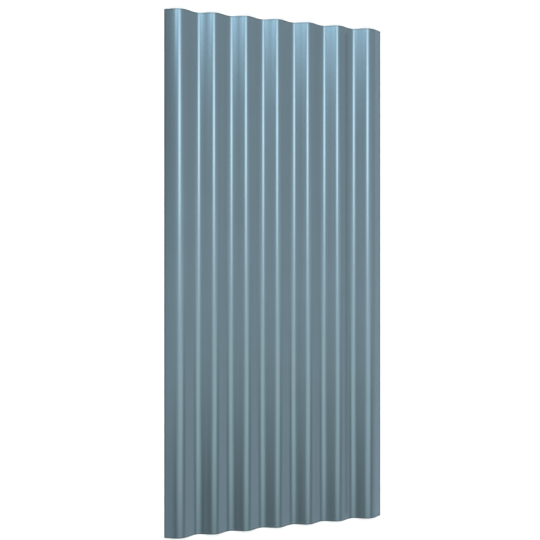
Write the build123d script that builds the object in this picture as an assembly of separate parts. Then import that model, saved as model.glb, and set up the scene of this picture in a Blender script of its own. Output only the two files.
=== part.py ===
from build123d import *
from math import asin, atan2, cos, degrees, hypot, sin
import os

# One corrugated steel sheet, roll-formed from flat stock and painted all over.
# Rounded waves run along its length. The two outer waves stand higher than the rest and
# have wider bends, so that each laps over the neighbouring sheet's edge.
# The frame has +X across the waves, +Y along them and +Z up. The origin is below the middle
# of the sheet, on the plane that its valleys rest on.

# Driving dimensions, in millimetres
SHEET_LENGTH = 800.0  # along the waves
SHEET_WIDTH = 360.0  # across the waves, between the two cut edges along the underside
SHEET_THICKNESS = 0.5  # steel with its paint
WAVE_COUNT = 7  # crests across the width, the two lap waves among them
WAVE_DEPTH = 8.8  # from a valley up to a crest, on one face of the sheet
BEND_RADIUS = 17.5  # inside each bend of the waves
LAP_RISE = 1.7  # how far the crest of a lap wave stands above the other crests
LAP_BEND_RADIUS = 20.0  # inside the bend at the crest of a lap wave

# How much of the room between two flanks their bends may take, so that some flat is left
BEND_LIMIT_SHARE = 0.95

# Sizes that follow from them
WAVE_PITCH = SHEET_WIDTH / WAVE_COUNT
LAP_HEIGHT = WAVE_DEPTH + LAP_RISE


def radii_limit(run, rise):
    """Most that the radii of the bends along a climb can add up to before its flat is used up."""
    return BEND_LIMIT_SHARE * (run**2 + rise**2) / (2 * rise)


def flank_slope(run, rise, radii):
    """Slope of the flats that climb a rise over a run, where tangent bends of these radii join them."""
    return asin(radii / hypot(run, radii - rise)) - atan2(radii - rise, run)


def flat_length(rise, radii, slope):
    """Length of the flat in one flank, less the rise that the bends at its ends take up."""
    return (rise - radii * (1 - cos(slope))) / sin(slope)


def wave_line():
    """Underside of the sheet from edge to edge: flat flanks joined by tangent bends.

    The underside is the inside of a bend at a crest and the outside of it in a valley."""
    half_pitch = WAVE_PITCH / 2
    wave_limit = radii_limit(half_pitch, WAVE_DEPTH)
    crest_radius = min(BEND_RADIUS, (wave_limit - SHEET_THICKNESS) / 2)
    valley_radius = crest_radius + SHEET_THICKNESS
    wave_slope = flank_slope(half_pitch, WAVE_DEPTH, crest_radius + valley_radius)
    wave_flat = flat_length(WAVE_DEPTH, crest_radius + valley_radius, wave_slope)

    # A lap wave climbs from the cut edge to its crest and comes down to the first valley
    lap_limit = radii_limit(WAVE_PITCH, 2 * LAP_HEIGHT)
    lap_radius = min(LAP_BEND_RADIUS, (lap_limit - valley_radius) / 2)
    lap_slope = flank_slope(WAVE_PITCH, 2 * LAP_HEIGHT, 2 * lap_radius + valley_radius)
    edge_flat = flat_length(LAP_HEIGHT, lap_radius, lap_slope)
    lap_flat = flat_length(LAP_HEIGHT, lap_radius + valley_radius, lap_slope)

    # Each flank is its flat's length, its slope and the radius of the bend that follows it
    left_lap = [(edge_flat, lap_slope, lap_radius), (lap_flat, -lap_slope, valley_radius)]
    wave = [(wave_flat, wave_slope, crest_radius), (wave_flat, -wave_slope, valley_radius)]
    right_lap = [(lap_flat, lap_slope, lap_radius), (edge_flat, -lap_slope, 0)]
    flanks = left_lap + wave * (WAVE_COUNT - 2) + right_lap

    edges = []
    start = Vector(-SHEET_WIDTH / 2, 0)
    for (length, slope, radius), (_, next_slope, _) in zip(flanks, flanks[1:]):
        flat = PolarLine(start, length, degrees(slope))
        bend = JernArc(flat @ 1, flat % 1, radius, degrees(next_slope - slope))
        edges += [flat, bend]
        start = bend @ 1
    last_length, last_slope, _ = flanks[-1]
    edges.append(PolarLine(start, last_length, degrees(last_slope)))
    return Wire(edges)


def corrugated_sheet():
    """The rolled section, its thickness laid on top of the underside, drawn out along the waves."""
    section = make_face(wave_line().offset_2d(SHEET_THICKNESS, side=Side.LEFT))
    far_end = Plane.XZ.offset(-SHEET_LENGTH / 2)
    return extrude(far_end * section, SHEET_LENGTH)


os.makedirs("parts", exist_ok=True)
export_step(corrugated_sheet(), "parts/corrugated_sheet.step")
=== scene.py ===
from math import asin, atan2, ceil, copysign, cos, e, hypot, radians, sin

import bpy
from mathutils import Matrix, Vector


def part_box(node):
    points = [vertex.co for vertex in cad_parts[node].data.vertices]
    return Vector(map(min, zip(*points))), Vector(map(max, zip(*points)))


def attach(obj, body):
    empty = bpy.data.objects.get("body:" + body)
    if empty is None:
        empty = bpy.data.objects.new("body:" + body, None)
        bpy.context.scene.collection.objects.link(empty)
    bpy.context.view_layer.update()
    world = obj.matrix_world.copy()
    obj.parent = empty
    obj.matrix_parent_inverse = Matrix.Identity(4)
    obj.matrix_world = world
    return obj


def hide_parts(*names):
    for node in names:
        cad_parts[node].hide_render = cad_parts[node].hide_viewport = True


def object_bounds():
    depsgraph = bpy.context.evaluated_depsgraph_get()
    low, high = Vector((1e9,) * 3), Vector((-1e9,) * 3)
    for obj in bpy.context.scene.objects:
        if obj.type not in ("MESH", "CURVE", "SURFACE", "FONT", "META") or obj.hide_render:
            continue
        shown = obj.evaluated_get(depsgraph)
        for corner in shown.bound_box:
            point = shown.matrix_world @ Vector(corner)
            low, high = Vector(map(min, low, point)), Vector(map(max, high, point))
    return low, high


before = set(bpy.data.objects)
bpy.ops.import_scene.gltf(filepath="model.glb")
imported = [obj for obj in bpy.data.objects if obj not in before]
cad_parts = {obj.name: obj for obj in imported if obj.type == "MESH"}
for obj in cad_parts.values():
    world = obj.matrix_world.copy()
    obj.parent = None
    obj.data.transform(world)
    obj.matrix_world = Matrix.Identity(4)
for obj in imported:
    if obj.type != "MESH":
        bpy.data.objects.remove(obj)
cad_low, cad_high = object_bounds()

# The looks of one corrugated steel sheet with a satin metallic paint, lying flat on a pale floor.
# +X runs across the waves, +Y along them and +Z up, as in the frame. Sizes are in metres.

# The sheet: its length and height come from the frame
SHEET_NODE = "corrugated_sheet"
sheet_low, sheet_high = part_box(SHEET_NODE)
SHEET_LENGTH = sheet_high.y - sheet_low.y
SHEET_WIDTH = 0.360  # between the two cut edges along the underside
SHEET_THICKNESS = 0.0005
LAP_HEIGHT = sheet_high.z - sheet_low.z - SHEET_THICKNESS
WAVE_COUNT = 7
WAVE_DEPTH = 0.0088
WAVE_PITCH = SHEET_WIDTH / WAVE_COUNT
LAP_VALLEY_RADIUS = 0.018  # on the lap's side of its valley
BEND_SLOPE = radians(24)  # where a crest's or valley's bend eases into its flanks
FLANK_SLOPE = radians(29)  # half-way up a flank
LAP_RADIUS = 0.020
EDGE_CURL = radians(5)  # how much steeper the left free flank is at its cut edge than at its crest

# How finely the mesh follows it
BEND_STEP = radians(2.5)
FLAT_STEP = 0.004
LENGTH_STEP = 0.025
EDGE_ROUNDING = 0.0001
EDGE_ROUNDING_STEPS = 2
SMOOTH_ANGLE = radians(50)
MERGE_DISTANCE = 1e-6

# The paint, with how far its colour and roughness stray from it
PAINT_COLOUR = (0.161, 0.235, 0.281)
PAINT_METALLIC = 0.80
PAINT_ROUGHNESS = 0.175
PEBBLE_SIZE = 0.002  # the fine unevenness of a sprayed surface
PEBBLE_DETAIL = 1
PEBBLE_DEPTH = 0.00002
STREAK_WIDTH = 0.005  # faint streaks that the rollers draw along the waves
STREAK_DETAIL = 3
STREAK_DRAW = 0.008  # how slowly they change along the sheet, against across it
STREAK_DEPTH = 0.000002
STREAK_SHADE = 0.16
STREAK_ROUGHNESS = 0.10
CLOUD_SIZE = 0.060  # soft clouds where the paint lies thicker
CLOUD_DETAIL = 2
CLOUD_SHADE = 0.08
BEND_ZONE = 0.0016  # how far down a crest, or up a valley, the rollers have polished it
BEND_POLISH = 0.015
EDGE_BAND = 0.003  # duller paint along the cut edges, darkened there partly as cut-edge paint and partly as painted shade on the rim
EDGE_DARK_PAINT_AND_SHADE = 0.33
EDGE_ROUGHNESS = 0.05

# The camera, fitted to the sheet's outline
CAMERA_PLACE = (-0.40265, 0.0, 1.19022)
CAMERA_LEAN = radians(18.185)
CAMERA_LENS = 52.884  # millimetres
CAMERA_SENSOR = 36.0  # millimetres
CAMERA_SHIFT_UP = 0.0064  # as a share of the picture's width

# The floor
FLOOR_SIDE = 24.0
FLOOR_GAP = 0.0001  # under the valleys, so that no two faces lie in one plane
FLOOR_COLOUR = (0.90, 0.90, 0.90)
FLOOR_WHITENESS = 0.15

# The light, as on a ceiling one metre over the sheet: places and spreads are across and along the sheet
WHITE = (1.0, 1.0, 1.0)
ROOM_LEVEL = 0.80
DARKEST = 0.05  # no flag takes the room below this
HAZE_RISE = 0.12  # where the white at the horizon has faded into the room
LOWEST_RISE = 0.02  # keeps places on that ceiling finite
KEY_PANEL = {"level": 3.65, "across": 0.0, "along": 0.21, "width": 0.165, "length": 0.17}
KEY_TINT = (0.96, 1.0, 1.03)
WIDE_PANEL = {"level": 0.99, "across": 0.14, "along": -0.19, "width": 0.77, "length": 0.305}
WIDE_TINT = (0.98, 1.0, 0.94)
SIDE_PANEL = {"level": 5.4, "across": -0.42, "along": 0.475, "width": 0.38, "length": 0.103}
SIDE_TINT = (0.79, 1.0, 1.12)
LOW_PANEL = {"level": 0.60, "across": -0.28, "along": -0.26, "width": 0.27, "length": 0.035}
LEFT_PANEL = {"level": 0.24, "across": -1.30, "along": -0.36, "width": 0.30, "length": 0.15}
RIGHT_PANEL = {"level": 0.075, "across": 4.0, "along": -0.20, "width": 3.0, "length": 0.90}
NEAR_FLAG = {"level": -0.86, "across": -0.13, "along": -0.41, "width": 1.30, "length": 0.17}
LEFT_FLAG = {"level": -0.55, "across": -0.40, "along": -0.27, "width": 0.37, "length": 0.27}
RIGHT_FLAG = {"level": -0.60, "across": 0.77, "along": -0.21, "width": 0.35, "length": 0.19}
WALL_FLAG = {"level": -0.40, "across": -1.50, "along": 0.44, "width": 0.45, "length": 0.35}
STRIP_LEVEL = 1.0  # a row of lamps that goes on beyond both ends of the sheet
STRIP_WIDTH = 0.40
STRIP_START = (0.45, 0.95)
STRIP_END = (2.5, 6.0)


class Wire:
    """A value that runs through a node tree. Sums on it add Math nodes to that tree."""

    def __init__(self, tree, socket=None):
        self.tree = tree
        self.socket = socket

    def node(self, kind, output=0, settings=None, sockets=None):
        """Adds a node, makes its settings first and then its sockets, and gives one of its outputs."""
        made = self.tree.nodes.new(kind)
        for name, setting in (settings or {}).items():
            setattr(made, name, setting)
        for name, value in (sockets or {}).items():
            if isinstance(value, Wire):
                self.tree.links.new(value.socket, made.inputs[name])
            else:
                made.inputs[name].default_value = value
        return Wire(self.tree, made.outputs[output]) if made.outputs else made

    def math(self, operation, first, second):
        return self.node("ShaderNodeMath", settings={"operation": operation}, sockets={0: first, 1: second})

    def __add__(self, other):
        return self.math("ADD", self, other)

    def __radd__(self, other):
        return self.math("ADD", other, self)

    def __sub__(self, other):
        return self.math("SUBTRACT", self, other)

    def __rsub__(self, other):
        return self.math("SUBTRACT", other, self)

    def __mul__(self, other):
        return self.math("MULTIPLY", self, other)

    def __rmul__(self, other):
        return self.math("MULTIPLY", other, self)

    def __truediv__(self, other):
        return self.math("DIVIDE", self, other)

    def __rtruediv__(self, other):
        return self.math("DIVIDE", other, self)

    def __pow__(self, other):
        return self.math("POWER", self, other)

    def __rpow__(self, other):
        return self.math("POWER", other, self)

    def __neg__(self):
        return self.math("SUBTRACT", 0, self)

    def __abs__(self):
        return self.math("ABSOLUTE", self, 0)

    def at_least(self, limit):
        return self.math("MAXIMUM", self, limit)

    def at_most(self, limit):
        return self.math("MINIMUM", self, limit)

    def ramp(self, low, high):
        """0 below low, 1 above high and a soft step between them."""
        return self.node("ShaderNodeMapRange", settings={"interpolation_type": "SMOOTHSTEP"},
                         sockets={"Value": self, "From Min": low, "From Max": high})

    def part(self, axis):
        """The X, Y or Z of a vector."""
        return self.node("ShaderNodeSeparateXYZ", axis, sockets={"Vector": self})

    def noise(self, size, detail):
        """Soft noise on a place, about as often above 0 as below it, with features of this size."""
        return self.node("ShaderNodeTexNoise",
                         sockets={"Vector": self, "Scale": 1 / size, "Detail": detail}) - 0.5

    def tint(self, colour):
        """A colour at this level."""
        return self.node("ShaderNodeVectorMath", settings={"operation": "SCALE"},
                         sockets={0: colour, "Scale": self})

    def plus(self, colour):
        """The sum of two colours."""
        return self.node("ShaderNodeVectorMath", settings={"operation": "ADD"}, sockets={0: self, 1: colour})


def deselect_all():
    bpy.ops.object.select_all(action="DESELECT")


def flank_slope(run, rise, radii, curl=0):
    """Slope of the flanks that climb a rise over a run, with tangent bends whose radii add up to this.

    A curled flank is a long bend of its own, and the slope is that of the line between its ends."""
    return asin(radii * cos(curl / 2) / hypot(run, radii - rise)) - atan2(radii - rise, run)


def flank_length(rise, radii, slope, curl=0):
    """Length of one flank between the bends at its ends, which take up the rest of the rise."""
    return (rise - radii * (1 - cos(slope - curl / 2))) / sin(slope)


def wave_radii():
    """Radii of a crest's underside, in its bend and where that eases into a flank.

    A valley's are larger by the thickness. The two halves of a flank make up half a pitch and the depth."""
    bend_run, bend_rise = sin(BEND_SLOPE), 1 - cos(BEND_SLOPE)
    ease_run, ease_rise = sin(FLANK_SLOPE) - bend_run, 1 - cos(FLANK_SLOPE) - bend_rise
    run = (WAVE_PITCH / 2 - SHEET_THICKNESS * sin(FLANK_SLOPE)) / 2
    rise = (WAVE_DEPTH - SHEET_THICKNESS * (1 - cos(FLANK_SLOPE))) / 2
    divisor = bend_run * ease_rise - ease_run * bend_rise
    return (run * ease_rise - ease_run * rise) / divisor, (bend_run * rise - run * bend_rise) / divisor


def sheet_flanks():
    """The underside from edge to edge: each flank's flat length, its slope and the next bend's radius."""
    crest_radius, crest_ease = wave_radii()
    valley_radius, valley_ease = crest_radius + SHEET_THICKNESS, crest_ease + SHEET_THICKNESS
    lap_slope = flank_slope(WAVE_PITCH, 2 * LAP_HEIGHT, 2 * LAP_RADIUS + LAP_VALLEY_RADIUS)
    lap_flat = flank_length(LAP_HEIGHT, LAP_RADIUS + LAP_VALLEY_RADIUS, lap_slope)
    free_flat = flank_length(LAP_HEIGHT, LAP_RADIUS, lap_slope)

    # The left free flank is one long bend, from the slope at its cut edge to the one at its crest
    crest_run = free_flat * cos(lap_slope) + LAP_RADIUS * sin(lap_slope)
    free_slope = flank_slope(crest_run, LAP_HEIGHT, LAP_RADIUS, EDGE_CURL)
    free_radius = flank_length(LAP_HEIGHT, LAP_RADIUS, free_slope, EDGE_CURL) / (2 * sin(EDGE_CURL / 2))
    edge_slope = free_slope + EDGE_CURL / 2
    crest_slope = free_slope - EDGE_CURL / 2

    left_lap = [(0, edge_slope, free_radius), (0, crest_slope, LAP_RADIUS),
                (lap_flat, -lap_slope, LAP_VALLEY_RADIUS)]
    # One wave, from the middle of a valley to the middle of the next
    wave = [(0, 0, valley_radius), (0, BEND_SLOPE, valley_ease), (0, FLANK_SLOPE, crest_ease),
            (0, BEND_SLOPE, crest_radius), (0, -BEND_SLOPE, crest_ease), (0, -FLANK_SLOPE, valley_ease),
            (0, -BEND_SLOPE, valley_radius)]
    right_lap = [(0, 0, LAP_VALLEY_RADIUS), (lap_flat, lap_slope, LAP_RADIUS), (free_flat, -lap_slope, 0)]
    return left_lap + wave * (WAVE_COUNT - 2) + right_lap


def along(slope):
    """Direction across the sheet up a flank of this slope."""
    return Vector((cos(slope), 0, sin(slope)))


def upward(slope):
    """Direction out of the top of a flank of this slope."""
    return Vector((-sin(slope), 0, cos(slope)))


def cut_edge(place):
    """The left cut edge as a row of points, from which the sheet is rolled out."""
    deselect_all()
    bpy.ops.mesh.primitive_grid_add(
        x_subdivisions=1, y_subdivisions=ceil(SHEET_LENGTH / LENGTH_STEP), size=1,
        location=place + Vector((FLAT_STEP / 2, 0, 0)))
    sheet = bpy.context.object
    sheet.name = "painted_sheet"
    sheet.scale = (FLAT_STEP, SHEET_LENGTH, 1)
    bpy.ops.object.transform_apply(location=True, rotation=True, scale=True)
    bpy.ops.object.mode_set(mode="EDIT")
    bpy.ops.mesh.select_all(action="DESELECT")
    bpy.ops.object.mode_set(mode="OBJECT")
    for corner in sheet.data.vertices:
        corner.select = corner.co.x > place.x + MERGE_DISTANCE
    bpy.ops.object.mode_set(mode="EDIT")
    bpy.ops.mesh.delete(type="VERT")
    bpy.ops.object.mode_set(mode="OBJECT")
    return sheet


def roll_flat(edge, length, slope):
    """Draws the leading edge out along a flat in even steps, and gives where it ends."""
    reach = along(slope) * length
    steps = ceil(length / FLAT_STEP)
    for _ in range(steps):
        bpy.ops.mesh.extrude_edges_move(TRANSFORM_OT_translate={"value": reach / steps})
    return edge + reach


def roll_bend(edge, slope, next_slope, radius):
    """Turns the leading edge round a bend, from one slope to the next, and gives where it ends."""
    turn = next_slope - slope
    reach = copysign(radius, turn)
    centre = edge + upward(slope) * reach
    steps = ceil(max(abs(turn) / BEND_STEP, abs(turn) * radius / FLAT_STEP))
    bpy.ops.mesh.spin(steps=steps, angle=turn, center=centre, axis=(0, 1, 0))
    return centre - upward(next_slope) * reach


def rolled_sheet():
    """The sheet: its left cut edge is rolled out flank by flank, and then it gets its thickness."""
    flanks = sheet_flanks()
    edge = Vector((-SHEET_WIDTH / 2, 0, sheet_low.z))
    sheet = cut_edge(edge)
    bpy.ops.object.mode_set(mode="EDIT")
    bpy.ops.mesh.select_all(action="SELECT")
    for (length, slope, radius), (_, next_slope, _) in zip(flanks, flanks[1:]):
        edge = roll_flat(edge, length, slope)
        edge = roll_bend(edge, slope, next_slope, radius)
    length, slope, _ = flanks[-1]
    roll_flat(edge, length, slope)
    bpy.ops.mesh.select_all(action="SELECT")
    bpy.ops.mesh.remove_doubles(threshold=MERGE_DISTANCE)
    bpy.ops.mesh.normals_make_consistent(inside=False)
    bpy.ops.object.mode_set(mode="OBJECT")
    if sum(face.normal.z for face in sheet.data.polygons) < 0:
        sheet.data.flip_normals()

    wall = sheet.modifiers.new("thickness", "SOLIDIFY")
    wall.thickness = SHEET_THICKNESS
    wall.offset = 1
    wall.use_even_offset = True
    rounding = sheet.modifiers.new("cut_edges", "BEVEL")
    rounding.width = EDGE_ROUNDING
    rounding.segments = EDGE_ROUNDING_STEPS
    rounding.limit_method = "ANGLE"
    rounding.angle_limit = SMOOTH_ANGLE
    for modifier in ("thickness", "cut_edges"):
        bpy.ops.object.modifier_apply(modifier=modifier)
    bpy.ops.object.shade_smooth_by_angle(angle=SMOOTH_ANGLE)
    evening = sheet.modifiers.new("even_normals", "WEIGHTED_NORMAL")
    evening.keep_sharp = True
    bpy.ops.object.modifier_apply(modifier="even_normals")
    return sheet


def sheet_paint():
    """Satin metallic paint: finely pebbled, faintly streaked by the rollers, duller along the cut edges and
    darkened there, partly with painted shade.
    """
    paint = bpy.data.materials.new("grey_paint")
    paint.use_nodes = True
    paint.node_tree.nodes.clear()
    start = Wire(paint.node_tree)
    place = start.node("ShaderNodeTexCoord", "Object")
    drawn_out = start.node("ShaderNodeMapping", sockets={"Vector": place, "Scale": (1, STREAK_DRAW, 1)})
    pebbles = place.noise(PEBBLE_SIZE, PEBBLE_DETAIL)
    streaks = drawn_out.noise(STREAK_WIDTH, STREAK_DETAIL)
    clouds = place.noise(CLOUD_SIZE, CLOUD_DETAIL)

    height = place.part("Z")
    crests = height.ramp(WAVE_DEPTH - BEND_ZONE, WAVE_DEPTH)
    valleys = 1 - height.ramp(SHEET_THICKNESS, SHEET_THICKNESS + BEND_ZONE)
    from_end = SHEET_LENGTH / 2 - abs(place.part("Y"))
    from_side = SHEET_WIDTH / 2 - abs(place.part("X"))
    edges = 1 - from_end.at_most(from_side).ramp(0, EDGE_BAND)

    # Along the cut edges the colour is darkened: partly duller cut-edge paint, partly painted shade on the
    # rim
    shade = 1 + streaks * STREAK_SHADE + clouds * CLOUD_SHADE - edges * EDGE_DARK_PAINT_AND_SHADE
    roughness = (PAINT_ROUGHNESS + streaks * STREAK_ROUGHNESS + edges * EDGE_ROUGHNESS
                 - (crests + valleys) * BEND_POLISH)
    relief = pebbles * PEBBLE_DEPTH + streaks * STREAK_DEPTH
    normal = start.node("ShaderNodeBump", sockets={"Height": relief, "Distance": 1.0, "Strength": 1.0})
    shader = start.node("ShaderNodeBsdfPrincipled", sockets={
        "Base Color": shade.tint(PAINT_COLOUR), "Metallic": PAINT_METALLIC, "Roughness": roughness,
        "Normal": normal})
    start.node("ShaderNodeOutputMaterial", sockets={"Surface": shader})
    return paint


def studio_floor():
    """A wide pale floor under the sheet, a little whiter to the eye than its paint alone."""
    deselect_all()
    bpy.ops.mesh.primitive_plane_add(size=FLOOR_SIDE, location=(0, 0, cad_low.z - FLOOR_GAP))
    floor = bpy.context.object
    floor.name = "studio_floor"
    pale = bpy.data.materials.new("pale_floor")
    pale.use_nodes = True
    pale.node_tree.nodes.clear()
    start = Wire(pale.node_tree)
    matt = start.node("ShaderNodeBsdfDiffuse", sockets={"Color": (*FLOOR_COLOUR, 1)})
    seen = (start.node("ShaderNodeLightPath", "Is Camera Ray")
            + start.node("ShaderNodeLightPath", "Is Glossy Ray")
            + start.node("ShaderNodeLightPath", "Is Transmission Ray"))
    glow = start.node("ShaderNodeEmission", sockets={"Strength": seen * FLOOR_WHITENESS})
    both = start.node("ShaderNodeAddShader", sockets={0: matt, 1: glow})
    start.node("ShaderNodeOutputMaterial", sockets={"Surface": both})
    floor.data.materials.append(pale)


def studio_light():
    """A white room with soft panels overhead, and dark flags at the near end and on both sides."""
    world = bpy.data.worlds.new("studio_light")
    bpy.context.scene.world = world
    world.use_nodes = True
    world.node_tree.nodes.clear()
    start = Wire(world.node_tree)
    direction = start.node("ShaderNodeTexCoord", "Generated")
    rise = direction.part("Z")
    across = direction.part("X") / rise.at_least(LOWEST_RISE)
    along_sheet = direction.part("Y") / rise.at_least(LOWEST_RISE)
    beyond = abs(along_sheet)

    def soft_panel(panel):
        off_across = (across - panel["across"]) / panel["width"]
        off_along = (along_sheet - panel["along"]) / panel["length"]
        return panel["level"] * e ** -(off_across ** 2 + off_along ** 2)

    strip = STRIP_LEVEL * e ** -((across / STRIP_WIDTH) ** 2) * beyond.ramp(*STRIP_START)
    strip = strip * (1 - beyond.ramp(*STRIP_END))
    room = ROOM_LEVEL + strip
    for panel in (LOW_PANEL, LEFT_PANEL, RIGHT_PANEL, NEAR_FLAG, LEFT_FLAG, RIGHT_FLAG, WALL_FLAG):
        room = room + soft_panel(panel)
    room = room.at_least(DARKEST)
    haze = 1 - rise.ramp(0, HAZE_RISE)
    light = (room + haze * (1 - room)).tint(WHITE)
    for panel, colour in ((KEY_PANEL, KEY_TINT), (WIDE_PANEL, WIDE_TINT), (SIDE_PANEL, SIDE_TINT)):
        light = light.plus(soft_panel(panel).tint(colour))
    glow = start.node("ShaderNodeBackground", sockets={"Color": light, "Strength": 1.0})
    start.node("ShaderNodeOutputWorld", sockets={"Surface": glow})


def photo_camera():
    """The camera looks down on the sheet from its left."""
    camera = bpy.data.objects.new("camera", bpy.data.cameras.new("camera"))
    bpy.context.scene.collection.objects.link(camera)
    camera.location = CAMERA_PLACE
    camera.rotation_euler = (0, -CAMERA_LEAN, 0)
    camera.data.lens = CAMERA_LENS
    camera.data.sensor_width = CAMERA_SENSOR
    camera.data.shift_y = CAMERA_SHIFT_UP
    bpy.context.scene.camera = camera


sheet = rolled_sheet()
sheet.data.materials.append(sheet_paint())
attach(sheet, "root")
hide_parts(SHEET_NODE)
studio_floor()
studio_light()
photo_camera()
bpy.context.scene.view_settings.view_transform = "Standard"
